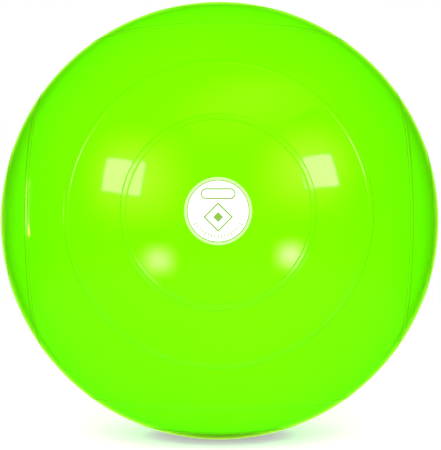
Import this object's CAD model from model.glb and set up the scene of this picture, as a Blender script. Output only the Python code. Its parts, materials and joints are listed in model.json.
"""Weighted stability ball: an inflated, ribbed PVC ball with a badge, an air valve and loose ballast.

Metres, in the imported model's frame: origin on the floor under the ball, +Z up, badge on -Y, valve on +Y.
"""

import json
import math

import bmesh
import bpy
import numpy as np
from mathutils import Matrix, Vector


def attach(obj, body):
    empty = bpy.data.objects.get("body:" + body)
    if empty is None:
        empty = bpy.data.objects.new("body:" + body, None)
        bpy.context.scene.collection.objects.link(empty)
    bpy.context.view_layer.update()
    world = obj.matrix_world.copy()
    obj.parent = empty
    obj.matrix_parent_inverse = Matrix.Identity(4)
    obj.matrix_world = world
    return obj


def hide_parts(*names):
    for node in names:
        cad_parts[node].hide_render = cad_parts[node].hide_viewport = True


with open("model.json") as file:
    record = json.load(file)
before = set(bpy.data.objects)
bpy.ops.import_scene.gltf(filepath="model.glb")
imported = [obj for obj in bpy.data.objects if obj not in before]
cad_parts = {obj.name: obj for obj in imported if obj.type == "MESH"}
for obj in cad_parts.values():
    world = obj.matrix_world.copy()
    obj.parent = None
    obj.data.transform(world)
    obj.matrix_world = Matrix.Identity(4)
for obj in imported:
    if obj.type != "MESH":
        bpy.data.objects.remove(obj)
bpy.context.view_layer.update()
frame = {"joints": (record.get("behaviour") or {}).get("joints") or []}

MM = 0.001

# ---- where the CAD says things are ----------------------------------------------------------------------
ballast_joint = next(j for j in frame["joints"] if j["name"] == "ballast_roll")
CENTRE = np.array(ballast_joint["pos_m"], float)

# ---- skin, in millimetres -------------------------------------------------------------------------------
R = 225.0
SKIN_T = 2.0
BLEND_R = 60.0                      # blends the flattened patch on the floor into the sphere
RIB_ANGLES = [math.radians(a) for a in (21.55, 37.25)]
CROWN_H = 0.24                      # each rib is a low, crowned band between two fine, lipped grooves
GROOVE_AT, GROOVE_HALF, GROOVE_DEPTH = 2.95, 0.22, 0.08
LIP_H, LIP_W = 0.03, 0.60
CENTRE_Z = CENTRE[2] / MM
FLAT_R = math.sqrt((R - BLEND_R) ** 2 - (CENTRE_Z - BLEND_R) ** 2)
HOLE_R = 12.0
HOLE_EDGE = 0.0008                  # radians over which the hole's outer edge is rounded
FIRST_RING = math.radians(3.0)      # the first ring of points round a pole
EDGE_STEPS, INNER_EDGE_STEPS = 5, 3

ROUND = 240                         # points round each pole outside, and a third of them inside
POLES = {
    "front": ((0, -1, 0), (1, 0, 0)), "rear": ((0, 1, 0), (-1, 0, 0)),
    "right": ((1, 0, 0), (0, 1, 0)), "left": ((-1, 0, 0), (0, -1, 0)),
    "top": ((0, 0, 1), (1, 0, 0)), "bottom": ((0, 0, -1), (1, 0, 0)),
}


# =========================================================================================================
# Mesh helpers
# =========================================================================================================
def mesh_object(name, points, faces, weld=0.0):
    """points are in millimetres from the ball's centre."""
    mesh = bpy.data.meshes.new(name)
    mesh.from_pydata((np.asarray(points) * MM + CENTRE).tolist(), [], faces)
    if weld:
        bm = bmesh.new()
        bm.from_mesh(mesh)
        bmesh.ops.remove_doubles(bm, verts=bm.verts, dist=weld * MM)
        bm.to_mesh(mesh)
        bm.free()
    mesh.shade_smooth()
    mesh.validate()
    obj = bpy.data.objects.new(name, mesh)
    bpy.context.scene.collection.objects.link(obj)
    return obj


def grid_faces(rows, columns, first=0, closed=True):
    """Quads over a grid of points; the outward side is rows x columns."""
    faces = []
    for k in range(rows - 1):
        a, b = first + k * columns, first + (k + 1) * columns
        for j in range(columns if closed else columns - 1):
            n = (j + 1) % columns
            faces.append((a + j, b + j, b + n, a + n))
    return faces


def rounded(corners, closed=False):
    """A polyline of (r, s, fillet radius) corners with each fillet drawn as a short arc."""
    count, out = len(corners), []
    for i, (r, s, fillet) in enumerate(corners):
        here = np.array([r, s])
        if not fillet or (not closed and i in (0, count - 1)):
            out.append(here)
            continue
        before = np.array(corners[i - 1][:2]) - here
        after = np.array(corners[(i + 1) % count][:2]) - here
        u, v = before / np.linalg.norm(before), after / np.linalg.norm(after)
        half = math.acos(np.clip(u @ v, -1, 1)) / 2
        reach = min(fillet / math.tan(half), 0.45 * np.linalg.norm(before), 0.45 * np.linalg.norm(after))
        radius = reach * math.tan(half)
        middle = here + (u + v) / np.linalg.norm(u + v) * radius / math.sin(half)
        start, end = here + u * reach, here + v * reach
        for t in np.linspace(0, 1, 5):
            p = start * (1 - t) + end * t - middle
            out.append(middle + p / np.linalg.norm(p) * radius)
    return out


def lathe(name, corners, segments, closed=False, limit=None):
    """Turn (r, s) corners about the valve's axis; limit(angle) trims the radius, for notches."""
    profile = rounded(corners, closed)
    turn = np.arange(segments) * 2 * math.pi / segments
    most = np.full(segments, np.inf) if limit is None else np.array([limit(t) for t in turn])
    points = []
    for r, s in profile:
        radius = np.minimum(r, most) if r > 0.5 * HEAD_R else np.full(segments, r)
        points.append(np.stack([radius * np.cos(turn), np.full(segments, s), radius * np.sin(turn)], 1))
    faces = grid_faces(len(profile), segments)
    if closed:
        last = (len(profile) - 1) * segments
        faces += [(last + j, j, (j + 1) % segments, last + (j + 1) % segments) for j in range(segments)]
    return mesh_object(name, np.concatenate(points), faces, weld=1e-4)


# =========================================================================================================
# Skin
# =========================================================================================================
def outer_radius(d):
    """Distance from the ball's centre to the outside of the skin along unit directions d."""
    r = np.full(len(d), R)
    from_pole = np.arccos(np.clip(np.abs(d).max(axis=1), -1, 1))
    lip_at = GROOVE_AT + GROOVE_HALF
    for angle in RIB_ANGLES:
        across = np.abs(from_pole - angle) * R
        r += np.interp(across, (lip_at - 0.001, lip_at, lip_at + LIP_W), (0.0, LIP_H, 0.0))
        r += np.where(across < lip_at, CROWN_H * (1 - (across / lip_at) ** 2), 0.0)
        r -= GROOVE_DEPTH * np.clip(1 - np.abs(across - GROOVE_AT) / GROOVE_HALF, 0, 1)
    return flattened(d, r, CENTRE_Z, BLEND_R)


def inner_radius(d):
    return flattened(d, np.full(len(d), R - SKIN_T), CENTRE_Z - SKIN_T, BLEND_R - SKIN_T)


def flattened(d, r, floor, blend_r):
    """Flatten the underside at a distance floor below the centre and blend it into the sphere."""
    down, out = -d[:, 2], np.hypot(d[:, 0], d[:, 1])
    blend_down = CENTRE_Z - BLEND_R
    tilt = np.arctan2(out, down)
    flat = tilt <= math.atan2(FLAT_R, floor)
    blend = ~flat & (tilt < math.atan2(FLAT_R, blend_down))
    r = r.copy()
    r[flat] = floor / down[flat]
    along = out[blend] * FLAT_R + down[blend] * blend_down
    r[blend] = along + np.sqrt(along ** 2 - (FLAT_R ** 2 + blend_down ** 2 - blend_r ** 2))
    return r


def pole_grid(pole, side, angles, count, steps_to_edge):
    """Unit directions on rings round a pole, then on to the edges of its sixth of the sphere."""
    a, u = np.array(pole, float), np.array(side, float)
    v = np.cross(a, u)
    turn = np.arange(count) * 2 * math.pi / count
    edge = np.arctan(1 / np.maximum(np.abs(np.cos(turn)), np.abs(np.sin(turn))))
    rows = [np.full(count, x) for x in angles]
    rows += [angles[-1] + (edge - angles[-1]) * k / steps_to_edge for k in range(1, steps_to_edge + 1)]
    across = np.outer(np.cos(turn), u) + np.outer(np.sin(turn), v)
    return np.concatenate([np.outer(np.cos(x), a) + np.sin(x)[:, None] * across for x in rows]), len(rows)


def rib_lines():
    """Ring angles from the first ring out, close together over each rib and its grooves."""
    groove = [GROOVE_AT + GROOVE_HALF * t for t in (-1.0, -0.1, 0.1, 1.0)]
    lip = [GROOVE_AT + GROOVE_HALF + LIP_W * t for t in (0.5, 1.0, 1.3)]
    across = np.array([0.0, 0.9, 1.7] + groove + lip) / R
    across = np.concatenate([-across[:0:-1], across])
    lines, last = [], FIRST_RING
    for angle in RIB_ANGLES:
        count = round((angle + across[0] - last) / math.radians(1.9))
        lines += list(np.linspace(last, angle + across[0], count, endpoint=False)) + list(angle + across)
        last = lines.pop()
    return lines + [last]


def build_skin():
    points, faces, total = [], [], 0

    def add(block, new_faces):
        nonlocal total
        points.append(block)
        faces.extend(tuple(i + total for i in f) for f in new_faces)
        total += len(block)

    hole = math.asin(HOLE_R / R)
    lines = rib_lines()
    for place, (pole, side) in POLES.items():
        own = [hole + HOLE_EDGE] + [x for x in lines if x > hole + 0.004] if place == "rear" else lines
        if place == "bottom":
            flat, blend = math.atan2(FLAT_R, CENTRE_Z), math.atan2(FLAT_R, CENTRE_Z - BLEND_R)
            own = sorted([x for x in lines if x > blend + 0.01]
                         + list(np.linspace(flat, blend, 6)) + [FIRST_RING])
        d, rows = pole_grid(pole, side, own, ROUND, EDGE_STEPS)
        block = d * outer_radius(d)[:, None]
        quads = grid_faces(rows, ROUND)
        if place != "rear":
            tip = np.array(pole, float)[None]
            quads += [(len(block), j, (j + 1) % ROUND) for j in range(ROUND)]
            block = np.concatenate([block, tip * outer_radius(tip)[:, None]])
        add(block, quads)

    # the wall of the valve's hole, from a slightly rounded outer edge down to the inside
    turn = np.arange(ROUND) * 2 * math.pi / ROUND
    pole, side = (np.array(x, float) for x in POLES["rear"])
    across = np.outer(np.cos(turn), side) + np.outer(np.sin(turn), np.cross(pole, side))
    rim = (R * math.sin(hole + HOLE_EDGE), R * math.cos(hole + HOLE_EDGE))
    top = R * math.cos(hole)
    low = math.sqrt((R - SKIN_T) ** 2 - HOLE_R ** 2)
    wall = [rim, (HOLE_R + 0.05, top - 0.06), (HOLE_R, top - 0.22), (HOLE_R, low)]
    add(np.concatenate([across * r + pole * s for r, s in wall]),
        [tuple(reversed(f)) for f in grid_faces(len(wall), ROUND)])
    wall_end = total - ROUND

    # the inside, coarser, facing the cavity
    few = ROUND // 3
    inner_hole = math.asin(HOLE_R / (R - SKIN_T))
    for place, (pole, side) in POLES.items():
        angles = [math.radians(x) for x in (7, 11, 16, 22, 28, 34, 40)]
        if place == "rear":
            angles = [inner_hole] + angles
        if place == "bottom":
            angles = [math.atan2(FLAT_R, CENTRE_Z - SKIN_T), math.radians(8.0)] + angles[1:]
        d, rows = pole_grid(pole, side, angles, few, INNER_EDGE_STEPS)
        block = d * inner_radius(d)[:, None]
        quads = [tuple(reversed(f)) for f in grid_faces(rows, few)]
        start = total
        if place != "rear":
            tip = np.array(pole, float)[None]
            quads += [((j + 1) % few, j, len(block)) for j in range(few)]
            block = np.concatenate([block, tip * inner_radius(tip)[:, None]])
        add(block, quads)
        if place == "rear":
            for j in range(few):
                outside = [wall_end + (3 * j + n) % ROUND for n in (3, 2, 1, 0)]
                faces.append((start + j, start + (j + 1) % few, *outside))
    return mesh_object("skin", np.concatenate(points), faces, weld=0.002)


# =========================================================================================================
# Valve, in millimetres along the valve's axis from the ball's centre
# =========================================================================================================
NECK_END = R - 22.0
RECESS_R, RECESS = 9.2, R - 2.4
BORE_R, NECK_R, FLANGE_R = 4.5, 8.0, 17.0
HEAD_R, UNDER_HEAD = 9.0, RECESS + 0.05
STEM_R, BARB_R, NOTCH_R = 3.8, 4.45, 1.7
BARB_COUNT, FIRST_BARB, BARB_PITCH, BARB_LEN = 3, 3.0, 5.6, 3.6
TIP = R - 25.0


def on_sphere(radius, r):
    return math.sqrt(radius ** 2 - r ** 2)


def build_seat():
    under_skin = on_sphere(R - SKIN_T, FLANGE_R)
    flange = under_skin - 3.0
    corners = [
        (BORE_R, NECK_END, 0.4), (NECK_R, NECK_END, 0.8), (NECK_R, flange, 2.0), (FLANGE_R, flange, 0.8),
        (FLANGE_R, under_skin - 0.02, 0.1), (HOLE_R - 0.02, on_sphere(R - SKIN_T, HOLE_R) - 0.02, 0),
        (HOLE_R - 0.02, on_sphere(R, HOLE_R), 0.18), (10.9, on_sphere(R, 10.9), 0.1),
        (10.6, on_sphere(R, 10.6) - 0.18, 0.1), (10.3, on_sphere(R, 10.3), 0.1),
        (RECESS_R, on_sphere(R, RECESS_R), 0.3), (RECESS_R, RECESS, 0.25), (BORE_R, RECESS, 0.35),
    ]
    return lathe("valve_seat_piece", corners, 144, closed=True)


def notch_limit(turn):
    """The head's outline: round, with a half-round finger-nail notch at each side."""
    across = HEAD_R * abs(math.sin(turn))
    if across >= NOTCH_R:
        return HEAD_R
    return HEAD_R * abs(math.cos(turn)) - math.sqrt(NOTCH_R ** 2 - across ** 2)


def build_plug():
    corners = [(0.0, R - 0.35, 0), (1.3, R - 0.35, 0.1), (1.7, R - 0.02, 0.15)]
    corners += [(r, on_sphere(R, r), 0) for r in (3.0, 4.5, 5.6)]
    corners += [(5.9, on_sphere(R, 5.9) - 0.22, 0.1), (6.4, on_sphere(R, 6.4) - 0.22, 0.1)]
    corners += [(6.7, on_sphere(R, 6.7), 0.05), (HEAD_R, on_sphere(R, HEAD_R), 0.4)]
    corners += [(HEAD_R, UNDER_HEAD, 0.2), (STEM_R, UNDER_HEAD, 0.5)]
    for barb in range(BARB_COUNT):
        top = UNDER_HEAD - FIRST_BARB - BARB_PITCH * barb
        corners += [(STEM_R, top, 0.1), (BARB_R, top, 0.12)]
        corners += [(BARB_R, top - 0.5, 0.15), (STEM_R, top - BARB_LEN, 0.6)]
    corners += [(STEM_R, TIP + 1.2, 0.5), (STEM_R - 1.2, TIP, 0.4), (0.0, TIP, 0)]
    return lathe("valve_plug_piece", corners[::-1], 192, limit=notch_limit)


# =========================================================================================================
# Ballast: a dished heap of granules
# =========================================================================================================
BALLAST_GAP = 0.3                   # air between the heap and the flattened floor of the cavity
BALLAST_DEPTH, BALLAST_DISH = 36.0, 3.0
GRAINS, GRAIN_R = 900, (1.3, 2.1)


def build_ballast():
    rng = np.random.default_rng(45)
    low = -(CENTRE_Z - SKIN_T - BALLAST_GAP)
    heap_r, rim_z = -low, low + BALLAST_DEPTH
    rim_r = math.sqrt(heap_r ** 2 - rim_z ** 2)
    dish_r = (rim_r ** 2 + BALLAST_DISH ** 2) / (2 * BALLAST_DISH)

    def dish(r):
        return rim_z - BALLAST_DISH + dish_r - math.sqrt(dish_r ** 2 - r ** 2)

    segments, rings = 120, 26
    turn = np.arange(segments) * 2 * math.pi / segments
    points = []
    for k in range(1, rings + 1):          # underside, out to the rim
        r = rim_r * k / rings
        points.append(np.stack([r * np.cos(turn), r * np.sin(turn),
                                np.full(segments, -math.sqrt(heap_r ** 2 - r ** 2))], 1))
    for k in range(rings - 1, 0, -1):      # grainy top, back to the middle
        r = rim_r * k / rings
        points.append(np.stack([r * np.cos(turn), r * np.sin(turn),
                                dish(r) - 1.6 - rng.uniform(0, 1.0, segments)], 1))
    faces = [tuple(reversed(f)) for f in grid_faces(len(points), segments)]
    total = segments * len(points)
    faces += [(total, (j + 1) % segments, j) for j in range(segments)]
    last = total - segments
    faces += [(last + j, last + (j + 1) % segments, total + 1) for j in range(segments)]
    points = [np.concatenate(points), np.array([[0, 0, low], [0, 0, rim_z - BALLAST_DISH - 2.0]])]
    total += 2

    grain = bmesh.new()
    bmesh.ops.create_icosphere(grain, subdivisions=1, radius=1.0)
    grain_points = np.array([v.co[:] for v in grain.verts])
    grain_faces = [tuple(v.index for v in f.verts) for f in grain.faces]
    grain.free()
    for _ in range(GRAINS):
        r = (rim_r - 9.0) * math.sqrt(rng.uniform())
        angle = rng.uniform(0, 2 * math.pi)
        size = rng.uniform(*GRAIN_R) * (1 + rng.uniform(-0.15, 0.15, 3))
        place = np.array([r * math.cos(angle), r * math.sin(angle), dish(r) - size.max()])
        points.append(grain_points * size + place)
        faces += [tuple(i + total for i in f) for f in grain_faces]
        total += len(grain_points)
    return mesh_object("ballast_granules", np.concatenate(points), faces)


# =========================================================================================================
# Badge: thin layers of ink, drawn as (x, z) in millimetres about the front pole
# =========================================================================================================
INK_T = 0.12
INK_EDGE = math.radians(40)          # corners sharper than this stay crisp
BADGE_R, LINE_R, LINE_W = 29.0, 26.4, 0.9
FIELD = dict(half_w=15.0, half_h=4.7, line=1.2, z=14.8)
EMBLEM_Z, EMBLEM_REACH, EMBLEM_LINE, EMBLEM_CORE = -5.2, 12.7, 1.3 * math.sqrt(2), 4.4
TICK_R, TICK_LEN, TICK_W, TICK_COUNT, TICK_STEP = 20.5, 2.4, 0.8, 17, 7.5


def ink(name, grids, layer):
    """Press grids of (x, z) points, each rows x columns x 2, onto the sphere as one numbered layer of ink."""
    points, faces, total = [], [], 0
    base = R + layer * INK_T
    for grid, closed in grids:
        rows, columns = grid.shape[:2]
        flat = grid.reshape(-1, 2)
        for radius in (base, base + INK_T):
            depth = np.sqrt(radius ** 2 - (flat ** 2).sum(1))
            points.append(np.stack([flat[:, 0], -depth, flat[:, 1]], 1))
        size = rows * columns
        top = grid_faces(rows, columns, total + size, closed)
        bottom = [tuple(reversed(f)) for f in grid_faces(rows, columns, total, closed)]
        faces += top + bottom
        edges = []
        for row, flip in ((0, False), (rows - 1, True)):
            if not grid[row].any():                # a row that is only the pole has no edge
                continue
            for j in range(columns if closed else columns - 1):
                edges.append((row * columns + j, row * columns + (j + 1) % columns, flip))
        if not closed:
            for k in range(rows - 1):
                edges.append((k * columns, (k + 1) * columns, True))
                edges.append((k * columns + columns - 1, (k + 2) * columns - 1, False))
        for i, j, flip in edges:
            side = (total + i, total + size + i, total + size + j, total + j)
            faces.append(tuple(reversed(side)) if flip else side)
        total += 2 * size
    obj = mesh_object(name, np.concatenate(points), faces, weld=0.0005)
    bm = bmesh.new()
    bm.from_mesh(obj.data)
    bmesh.ops.recalc_face_normals(bm, faces=bm.faces)
    bm.to_mesh(obj.data)
    bm.free()
    obj.data.set_sharp_from_angle(angle=INK_EDGE)
    return obj


def polar(radii, count=240):
    turn = np.arange(count) * 2 * math.pi / count
    return np.stack([np.stack([r * np.cos(turn), r * np.sin(turn)], 1) for r in radii]), True


def quad(corners, rows=3, columns=3):
    """A four-cornered patch as a grid."""
    a, b, c, d = (np.array(p, float) for p in corners)
    s, t = np.linspace(0, 1, rows)[:, None, None], np.linspace(0, 1, columns)[None, :, None]
    return (a * (1 - s) + b * s) * (1 - t) + (d * (1 - s) + c * s) * t, False


def field_outline():
    """A blank name field: a round-ended outline."""
    half_w, half_h, line, z = FIELD["half_w"], FIELD["half_h"], FIELD["line"], FIELD["z"]
    end = half_w - half_h
    middles, normals = [], []
    for side in (1, -1):
        for t in np.linspace(-math.pi / 2, math.pi / 2, 17):
            middles.append((side * end, z))
            normals.append((side * math.cos(t), side * math.sin(t)))
        for k in range(1, 8):
            middles.append((side * (end - 2 * end * k / 8), z))
            normals.append((0, side))
    middles, normals = np.array(middles), np.array(normals)
    return np.stack([middles + normals * r for r in (half_h - line, half_h - line / 2, half_h)]), True


def diamond_outline():
    rows = []
    for reach in (EMBLEM_REACH - EMBLEM_LINE, EMBLEM_REACH - EMBLEM_LINE / 2, EMBLEM_REACH):
        corners = [(0, -reach), (reach, 0), (0, reach), (-reach, 0)]
        row = []
        for i in range(4):
            a, b = np.array(corners[i], float), np.array(corners[(i + 1) % 4], float)
            row += [a * (1 - t) + b * t for t in np.arange(8) / 8]
        rows.append(np.array(row) + (0, EMBLEM_Z))
    return np.stack(rows), True


def tick(n):
    turn = math.radians(-90 + (n - (TICK_COUNT - 1) / 2) * TICK_STEP)
    length = TICK_LEN * (1.5 if n % 4 == 0 else 1.0)
    out = np.array([math.cos(turn), math.sin(turn)])
    across = np.array([-out[1], out[0]]) * TICK_W / 2
    a, b = out * TICK_R, out * (TICK_R + length)
    return quad([a - across, b - across, b + across, a + across])


def build_badge():
    small = EMBLEM_CORE
    core = quad([(0, EMBLEM_Z - small), (small, EMBLEM_Z), (0, EMBLEM_Z + small), (-small, EMBLEM_Z)], 6, 6)
    radii = list(np.linspace(0.0, BADGE_R - 0.5, 18)) + [BADGE_R - 0.2, BADGE_R]
    return {
        "badge_disc": ink("badge_white", [polar(radii)], 0),
        "badge_ring_line": ink("badge_line", [polar([LINE_R - LINE_W / 2, LINE_R, LINE_R + LINE_W / 2])], 1),
        "badge_field": ink("badge_name_field", [field_outline()], 1),
        "badge_emblem": ink("badge_diamond", [diamond_outline(), core], 1),
        "badge_ticks": ink("badge_tick_marks", [tick(n) for n in range(TICK_COUNT)], 1),
    }


# =========================================================================================================
# Materials
# =========================================================================================================
class Paint:
    """A Principled material and short words for the nodes that feed it."""

    def __init__(self, name, **settings):
        self.material = bpy.data.materials.new(name)
        self.material.use_nodes = True
        self.tree = self.material.node_tree
        self.bsdf = self.tree.nodes["Principled BSDF"]
        self.set(**settings)
        self.place = self.tree.nodes.new("ShaderNodeTexCoord").outputs["Object"]

    def set(self, **settings):
        for key, value in settings.items():
            socket = self.bsdf.inputs[key.replace("_", " ")]
            socket.default_value = (*value, 1.0) if isinstance(value, tuple) and len(value) == 3 \
                and socket.type == "RGBA" else value

    def feed(self, value, socket):
        if hasattr(value, "is_output"):
            self.tree.links.new(value, socket)
        elif isinstance(value, (tuple, list)) and socket.type == "RGBA" and len(value) == 3:
            socket.default_value = (*value, 1.0)
        else:
            socket.default_value = value

    def math(self, operation, *values):
        node = self.tree.nodes.new("ShaderNodeMath")
        node.operation = operation
        for socket, value in zip(node.inputs, values):
            self.feed(value, socket)
        return node.outputs[0]

    def vector(self, operation, *values):
        node = self.tree.nodes.new("ShaderNodeVectorMath")
        node.operation = operation
        for socket, value in zip(node.inputs, values):
            self.feed(value, socket)
        return node.outputs["Value" if operation == "LENGTH" else "Vector"]

    def noise(self, scale, detail=3.0, roughness=0.5, distortion=0.0):
        node = self.tree.nodes.new("ShaderNodeTexNoise")
        self.feed(self.place, node.inputs["Vector"])
        for key, value in (("Scale", scale), ("Detail", detail), ("Roughness", roughness),
                           ("Distortion", distortion)):
            node.inputs[key].default_value = value
        return node.outputs["Fac"]

    def spread(self, value, low, high, to_low=0.0, to_high=1.0):
        node = self.tree.nodes.new("ShaderNodeMapRange")
        node.interpolation_type = "SMOOTHSTEP"
        for key, x in (("Value", value), ("From Min", low), ("From Max", high),
                       ("To Min", to_low), ("To Max", to_high)):
            self.feed(x, node.inputs[key])
        return node.outputs["Result"]

    def mix(self, share, a, b):
        node = self.tree.nodes.new("ShaderNodeMix")
        node.data_type = "RGBA"
        self.feed(share, node.inputs["Factor"])
        self.feed(a, node.inputs[6])
        self.feed(b, node.inputs[7])
        return node.outputs[2]

    def bump(self, height, distance, strength=1.0):
        node = self.tree.nodes.new("ShaderNodeBump")
        node.inputs["Strength"].default_value = strength
        node.inputs["Distance"].default_value = distance
        self.feed(height, node.inputs["Height"])
        self.feed(node.outputs["Normal"], self.bsdf.inputs["Normal"])

    def base(self, colour):
        self.feed(colour, self.bsdf.inputs["Base Color"])

    def rough(self, value):
        self.feed(value, self.bsdf.inputs["Roughness"])


def srgb(*levels):
    """Linear colour from 0 to 255 levels."""
    shares = [level / 255 for level in levels]
    return tuple(x / 12.92 if x <= 0.04045 else ((x + 0.055) / 1.055) ** 2.4 for x in shares)


def skin_paint():
    """Glossy PVC: faint mottling, dark fine grooves beside each rib, and scuffs on the rib where it rubs."""
    p = Paint("ball_vinyl", Specular_IOR_Level=0.5)
    ray = p.vector("NORMALIZE", p.vector("SUBTRACT", p.place, tuple(CENTRE)))
    split = p.tree.nodes.new("ShaderNodeSeparateXYZ")
    p.feed(p.vector("ABSOLUTE", ray), split.inputs[0])
    nearest = p.math("MAXIMUM", p.math("MAXIMUM", split.outputs[0], split.outputs[1]), split.outputs[2])
    from_pole = p.math("ARCCOSINE", nearest)
    off = [p.math("ABSOLUTE", p.math("SUBTRACT", from_pole, angle)) for angle in RIB_ANGLES]
    from_rib = p.math("MINIMUM", *off)
    crown = p.spread(from_rib, 0.5 * GROOVE_AT / R, GROOVE_AT / R, 1.0, 0.0)
    from_groove = p.math("ABSOLUTE", p.math("SUBTRACT", from_rib, GROOVE_AT / R))
    groove = p.spread(from_groove, 0.4 * GROOVE_HALF / R, 1.4 * GROOVE_HALF / R, 1.0, 0.0)
    shade = p.spread(from_groove, GROOVE_HALF / R, 4.6 * GROOVE_HALF / R, 1.0, 0.0)

    lime = p.mix(p.spread(p.noise(6.0, 4.0), 0.35, 0.65), (0.124, 0.90, 0.0), (0.132, 0.94, 0.0))
    lime = p.mix(crown, lime, (0.124, 0.86, 0.0))
    lime = p.mix(shade, lime, (0.112, 0.55, 0.0))
    lime = p.mix(groove, lime, (0.100, 0.24, 0.0))
    p.base(lime)
    wear = p.math("MULTIPLY", crown, p.spread(p.noise(38.0, 5.0, 0.65), 0.5, 0.72))
    gloss = p.spread(p.noise(240.0, 2.0), 0.3, 0.7, 0.055, 0.085)
    rib = p.math("ADD", p.math("MULTIPLY", crown, 0.05), p.math("MULTIPLY", groove, 0.2))
    p.rough(p.math("ADD", gloss, p.math("ADD", p.math("MULTIPLY", wear, 0.10), rib)))
    height = p.math("ADD", p.math("MULTIPLY", p.noise(420.0, 2.0), 0.05), p.noise(14.0, 2.0))
    p.bump(height, 0.0003, 0.25)
    return p.material


def moulded_paint(name, colour, darker, roughness):
    """Satin moulded plastic with faint flow marks and a fine surface."""
    p = Paint(name, Specular_IOR_Level=0.45)
    p.base(p.mix(p.spread(p.noise(90.0, 4.0, 0.6, 0.8), 0.35, 0.7), colour, darker))
    p.rough(p.spread(p.noise(700.0, 3.0), 0.3, 0.7, roughness - 0.06, roughness + 0.08))
    p.bump(p.noise(1500.0, 3.0), 0.00005, 0.5)
    return p.material


def granule_paint():
    p = Paint("ballast_grit", Roughness=0.8)
    tone = p.spread(p.noise(260.0, 2.0), 0.3, 0.7)
    p.base(p.mix(tone, srgb(120, 112, 98), srgb(196, 188, 170)))
    p.bump(p.noise(1400.0, 4.0), 0.0003, 0.8)
    return p.material


def ink_paint(name, colour, thin, edge_from=None):
    """Printed ink, slightly uneven; beyond the radius edge_from it is thin and the skin shows through."""
    p = Paint(name, Specular_IOR_Level=0.3, Coat_Weight=0.2, Coat_Roughness=0.08)
    cover = p.spread(p.noise(300.0, 5.0, 0.6), 0.25, 0.75, 0.0, 0.12)
    if edge_from is not None:
        ray = p.vector("SUBTRACT", p.place, tuple(CENTRE))
        from_axis = p.vector("LENGTH", p.vector("MULTIPLY", ray, (1.0, 0.0, 1.0)))
        edge = p.spread(from_axis, edge_from * MM, (edge_from + 0.6) * MM, 0.0, 1.0)
        cover = p.math("MAXIMUM", cover, edge)
    p.base(p.mix(cover, colour, thin))
    p.rough(p.spread(p.noise(500.0, 3.0), 0.3, 0.7, 0.3, 0.42))
    p.bump(p.noise(900.0, 3.0), 0.00004, 0.5)
    return p.material


# =========================================================================================================
# Put the pieces on their bodies
# =========================================================================================================
def dress(obj, material, body, node):
    obj.data.materials.clear()
    obj.data.materials.append(material)
    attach(obj, body)
    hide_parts(node)


dress(build_skin(), skin_paint(), "ball", "ball_shell")
dress(build_seat(), moulded_paint("valve_green", (0.10, 0.72, 0.004), (0.08, 0.60, 0.003), 0.35),
      "ball", "valve_seat")
dress(build_plug(), moulded_paint("plug_white", srgb(240, 241, 238), srgb(226, 229, 224), 0.38),
      "plug", "valve_plug")
dress(build_ballast(), granule_paint(), "ballast", "ballast_fill")

white_ink = ink_paint("ink_white", (0.80, 0.81, 0.78), (0.41, 0.80, 0.24), edge_from=LINE_R)
green_ink = ink_paint("ink_green", (0.16, 0.30, 0.045), (0.20, 0.36, 0.07))
for node, piece in build_badge().items():
    ink_of, slot = (white_ink, "white_ink") if node == "badge_disc" else (green_ink, "green_ink")
    dress(piece, ink_of, "ball", node)


# =========================================================================================================
# Floor, light and camera
# =========================================================================================================
FRONT_LIGHT = 2.20                  # light from the front, where 1 is a white that just clips
FRONT_RISE, FRONT_WIDTH = math.radians(16), math.radians(76)
BACKDROP_LIGHT, BACKDROP_SPAN = 1.9, (0.05, 0.8)      # spans are along the direction's Y or Z
TABLE_LIFT = 0.38                   # the floor's own glow
TABLE_MIRROR, TABLE_SPAN = 0.2, (-0.36, -0.28)
SHADE_R, TABLE_R, FLOOR_R = 0.085, 0.65, 4.0
FLOOR_SIDES, FLOOR_DROP = 96, 0.0003
RIM_MIRROR, RIM_SPAN = 1.45, (0.82, 0.98)
MIRROR_TINT = (0.5, 1.0, 0.05)      # stands in for light that the skin scatters, most of all near its outline
VIEW_TURN, VIEW_RISE, VIEW_DISTANCE = 0.33, -2.14, 1.2015
VIEW_SHIFT = (0.0009, 0, -0.0044)   # from the ball's middle to the point that the camera looks at
SENSOR, LENS = 36.0, 91.8


def toward(turn, rise):
    """Unit direction from the ball: degrees turned to the right from the badge, and degrees above level."""
    turn, rise = math.radians(turn), math.radians(rise)
    return Vector((math.sin(turn) * math.cos(rise), -math.cos(turn) * math.cos(rise), math.sin(rise)))


def glow_paint(name, strength, softness, blue):
    """A card's glow, full in the middle and fading over the share `softness` of its half width.

    Blue fades twice over, so a card's soft edge is yellower than its middle."""
    p = Paint(name)
    split = p.tree.nodes.new("ShaderNodeSeparateXYZ")
    p.feed(p.tree.nodes.new("ShaderNodeTexCoord").outputs["UV"], split.inputs[0])
    sides = [p.spread(p.math("ABSOLUTE", p.math("SUBTRACT", split.outputs[axis], 0.5)),
                      0.5 * (1 - softness), 0.5, 1.0, 0.0) for axis in (0, 1)]
    share = p.math("MULTIPLY", *sides)
    level = p.math("MULTIPLY", share, strength)
    colour = p.tree.nodes.new("ShaderNodeCombineColor")
    for key, value in (("Red", level), ("Green", level),
                       ("Blue", p.math("MULTIPLY", p.math("MULTIPLY", level, share), blue))):
        p.feed(value, colour.inputs[key])
    glow = p.tree.nodes.new("ShaderNodeEmission")
    p.feed(colour.outputs[0], glow.inputs["Color"])
    p.feed(glow.outputs[0], p.tree.nodes["Material Output"].inputs["Surface"])
    p.tree.nodes.remove(p.bsdf)
    return p.material


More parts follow.
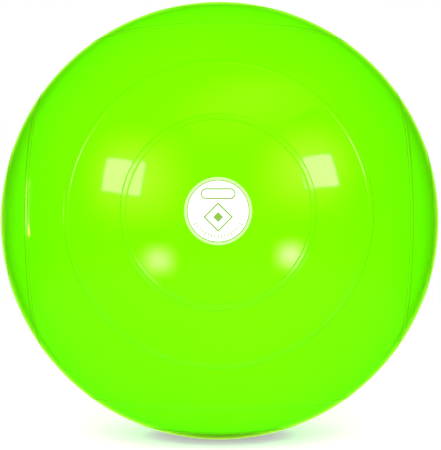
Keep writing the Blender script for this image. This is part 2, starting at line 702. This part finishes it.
def outline(width, height, lean=0.0, tilt=0.0, wedge=0.0, taper=0.0):
    """Corners of a card in metres.

    lean carries the top sideways, tilt lifts the right side, wedge makes the right side taller and taper
    makes the top narrower."""
    return [(x * (width - y * taper / 2) / 2 + y * lean / 2, y * (height + x * wedge / 2) / 2 + x * tilt / 2)
            for x, y in ((-1, -1), (1, -1), (1, 1), (-1, 1))]


def card(name, turn, rise, distance, corners, strength, softness, blue):
    """A glowing card, faced to the ball, that shows only as a reflection."""
    mesh = bpy.data.meshes.new(name)
    mesh.from_pydata([(x, y, 0) for x, y in corners], [], [(0, 1, 2, 3)])
    uv = mesh.uv_layers.new()
    for loop, at in zip(uv.data, ((0, 0), (1, 0), (1, 1), (0, 1))):
        loop.uv = at
    mesh.materials.append(glow_paint(name + "_glow", strength, softness, blue))
    obj = bpy.data.objects.new(name, mesh)
    bpy.context.scene.collection.objects.link(obj)
    direction = toward(turn, rise)
    obj.location = Vector(CENTRE) + direction * distance
    obj.rotation_mode = "QUATERNION"
    obj.rotation_quaternion = direction.to_track_quat("Z", "Y")
    obj.visible_camera = obj.visible_diffuse = obj.visible_shadow = False


def build_front_light():
    """A broad light from the front and a little above, that doesn't mirror in the gloss."""
    light = bpy.data.lights.new("front_light", "SUN")
    light.angle, light.energy = FRONT_WIDTH, FRONT_LIGHT * math.pi
    light.cycles.use_multiple_importance_sampling = False
    obj = bpy.data.objects.new("front_light", light)
    bpy.context.scene.collection.objects.link(obj)
    obj.rotation_euler = (math.pi / 2 - FRONT_RISE, 0, 0)
    obj.visible_glossy = False


def floor_ring(name, r_from, r_to, lit_by_it):
    """Part of the pale floor, a hair under the ball; lit_by_it: whether it throws light back on the ball."""
    turn = [2 * math.pi * j / FLOOR_SIDES for j in range(FLOOR_SIDES)]
    rings = [[(r * math.cos(t), r * math.sin(t), -FLOOR_DROP) for t in turn] for r in (r_from, r_to)]
    faces = grid_faces(2, FLOOR_SIDES) if r_from else [tuple(range(FLOOR_SIDES, 2 * FLOOR_SIDES))]
    mesh = bpy.data.meshes.new(name)
    mesh.from_pydata(rings[0] + rings[1], [], faces)
    floor = bpy.data.objects.new(name, mesh)
    bpy.context.scene.collection.objects.link(floor)
    p = Paint(name + "_white", Roughness=0.6, Specular_IOR_Level=0.1,
              Emission_Color=(1.0, 1.0, 1.0), Emission_Strength=TABLE_LIFT)
    p.base(p.mix(p.noise(3.0), (0.91, 0.91, 0.91), (0.93, 0.93, 0.93)))
    p.material.cycles.emission_sampling = "NONE"
    mesh.materials.append(p.material)
    floor.visible_glossy = False
    floor.visible_diffuse = lit_by_it


class Sky(Paint):
    """Words for the world's nodes."""

    def __init__(self, world):
        world.use_nodes = True
        self.tree = world.node_tree
        self.tree.nodes.clear()

    def background(self, colour, strength):
        node = self.tree.nodes.new("ShaderNodeBackground")
        self.feed(colour, node.inputs["Color"])
        self.feed(strength, node.inputs["Strength"])
        return node.outputs[0]

    def choose(self, share, no, yes):
        node = self.tree.nodes.new("ShaderNodeMixShader")
        for socket, value in zip(node.inputs, (share, no, yes)):
            self.feed(value, socket)
        return node.outputs[0]


def build_world():
    """A white studio with a lit backdrop behind the ball. The gloss mirrors only a rim and a pale table."""
    world = bpy.data.worlds.new("studio")
    bpy.context.scene.world = world
    world.cycles.sampling_method = "NONE"
    p = Sky(world)
    split = p.tree.nodes.new("ShaderNodeSeparateXYZ")
    p.feed(p.tree.nodes.new("ShaderNodeTexCoord").outputs["Generated"], split.inputs[0])
    path = p.tree.nodes.new("ShaderNodeLightPath")
    above = p.spread(split.outputs["Z"], -0.1, 0.0)
    lit = p.math("MULTIPLY", p.spread(split.outputs["Y"], *BACKDROP_SPAN, 0.0, BACKDROP_LIGHT), above)
    lit = p.background((1.0, 1.0, 1.0), lit)
    rim = p.spread(split.outputs["Y"], *RIM_SPAN, 0.0, RIM_MIRROR)
    table = p.spread(split.outputs["Z"], *TABLE_SPAN, TABLE_MIRROR, 0.0)
    mirrored = p.background(MIRROR_TINT, p.math("MAXIMUM", rim, table))
    around = p.choose(path.outputs["Is Glossy Ray"], lit, mirrored)
    seen = p.background((1.0, 1.0, 1.0), 1.0)
    out = p.tree.nodes.new("ShaderNodeOutputWorld")
    p.feed(p.choose(path.outputs["Is Camera Ray"], around, seen), out.inputs["Surface"])


def build_camera():
    """A long lens a little below the ball's middle."""
    data = bpy.data.cameras.new("camera")
    data.sensor_width, data.lens = SENSOR, LENS
    camera = bpy.data.objects.new("camera", data)
    bpy.context.scene.collection.objects.link(camera)
    camera.location = Vector(CENTRE) + toward(VIEW_TURN, VIEW_RISE) * VIEW_DISTANCE
    aim = Vector(CENTRE) + Vector(VIEW_SHIFT)
    camera.rotation_mode = "QUATERNION"
    camera.rotation_quaternion = (aim - camera.location).to_track_quat("-Z", "Y")
    bpy.context.scene.camera = camera


floor_ring("studio_shade", 0.0, SHADE_R, False)
floor_ring("studio_table", SHADE_R, TABLE_R, True)
floor_ring("studio_floor", TABLE_R, FLOOR_R, False)
build_world()
build_front_light()
card("softbox_left", -46.6, 17.2, 1.70, outline(0.65, 0.46, tilt=-0.05, wedge=0.05), 11.6, 0.12, 0.53)
card("softbox_right", 49.3, 19.4, 1.70, outline(0.56, 0.43, tilt=0.02, taper=0.08), 12.0, 0.12, 0.59)
card("halo_left", -41.5, 17.0, 1.73, outline(2.2, 1.8, lean=-0.35), 5.8, 1.0, 0.08)
card("halo_right", 44.5, 21.0, 1.73, outline(2.2, 1.7, lean=0.5), 5.6, 1.0, 0.08)
card("ceiling", 22.0, 52.5, 1.78, outline(3.4, 1.65, lean=0.3, tilt=0.1, wedge=0.4), 1.9, 1.0, 0.05)
card("window_left", -25.1, -17.4, 0.665, outline(0.24, 0.21), 11.2, 1.0, 0.53)
card("window_right", 29.8, -15.2, 0.664, outline(0.22, 0.20), 13.0, 1.0, 0.66)
card("strip_left", -107.7, 4.2, 1.61, outline(0.06, 0.50, lean=-0.116), 25.0, 0.3, 0.30)
build_camera()
bpy.context.scene.view_settings.view_transform = "Standard"
